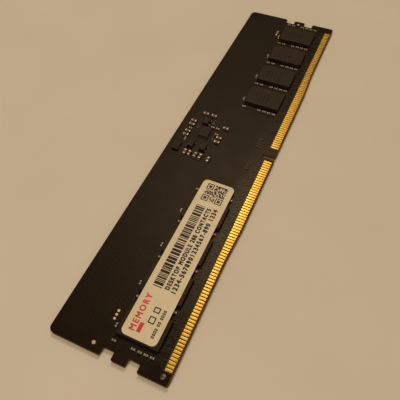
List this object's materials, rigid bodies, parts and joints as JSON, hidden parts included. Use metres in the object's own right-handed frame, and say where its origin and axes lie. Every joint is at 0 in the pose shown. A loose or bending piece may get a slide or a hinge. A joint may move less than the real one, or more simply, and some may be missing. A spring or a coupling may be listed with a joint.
{
  "type": "ram module",
  "caption": "Flat memory module with a notched contact edge, ball-grid memory packages, a power section and a paper label, made to plug into a computer board socket.",
  "frame": {"origin": "centre of the board's back face, which is also the bottom centre of the whole part's box", "axes": "+X along the board from the end with contact 1, +Y from the contact edge to the opposite long edge, +Z out of the component side"},
  "size_m": [0.1334, 0.0312, 0.0025],
  "materials": {
    "board": "satin",
    "copper": "satin",
    "gold_contact": "gloss",
    "solder": "satin",
    "package_substrate": "satin",
    "silicon": "polished",
    "chip_mould": "matte",
    "inductor_body": "matte",
    "capacitor_ceramic": "satin",
    "terminal_metal": "satin",
    "resistor_body": "satin",
    "label_paper": "satin"
  },
  "bodies": {
    "root": {"back_contacts": "gold_contact", "board_laminate": "board", "bulk_capacitor_bodies": "capacitor_ceramic", "bulk_capacitor_terminals": "terminal_metal", "fiducial_pads": "gold_contact", "front_contacts": "gold_contact", "front_laminate_sheet": "board", "ground_plane_copper": "copper", "hub_chip_body": "chip_mould", "hub_chip_die": "silicon", "hub_chip_pads": "solder", "inductor_body_1": "inductor_body", "inductor_body_2": "inductor_body", "inductor_body_3": "inductor_body", "inductor_coils": "copper", "inductor_terminals": "solder", "inner_laminate_sheet": "board", "label": "label_paper", "memory_cap_1": "chip_mould", "memory_cap_2": "chip_mould", "memory_cap_3": "chip_mould", "memory_cap_4": "chip_mould", "memory_cap_5": "chip_mould", "memory_cap_6": "chip_mould", "memory_cap_7": "chip_mould", "memory_cap_8": "chip_mould", "memory_die_1": "silicon", "memory_die_2": "silicon", "memory_die_3": "silicon", "memory_die_4": "silicon", "memory_die_5": "silicon", "memory_die_6": "silicon", "memory_die_7": "silicon", "memory_die_8": "silicon", "memory_solder_balls_1": "solder", "memory_solder_balls_2": "solder", "memory_solder_balls_3": "solder", "memory_solder_balls_4": "solder", "memory_solder_balls_5": "solder", "memory_solder_balls_6": "solder", "memory_solder_balls_7": "solder", "memory_solder_balls_8": "solder", "memory_substrate_1": "package_substrate", "memory_substrate_2": "package_substrate", "memory_substrate_3": "package_substrate", "memory_substrate_4": "package_substrate", "memory_substrate_5": "package_substrate", "memory_substrate_6": "package_substrate", "memory_substrate_7": "package_substrate", "memory_substrate_8": "package_substrate", "power_chip_body": "chip_mould", "power_chip_die": "silicon", "power_chip_pads": "solder", "power_plane_copper": "copper", "resistor_bodies": "resistor_body", "resistor_terminals": "terminal_metal", "small_capacitor_bodies": "capacitor_ceramic", "small_capacitor_terminals": "terminal_metal", "solder_lands": "solder", "test_pads": "gold_contact"}
  },
  "joints": []
}
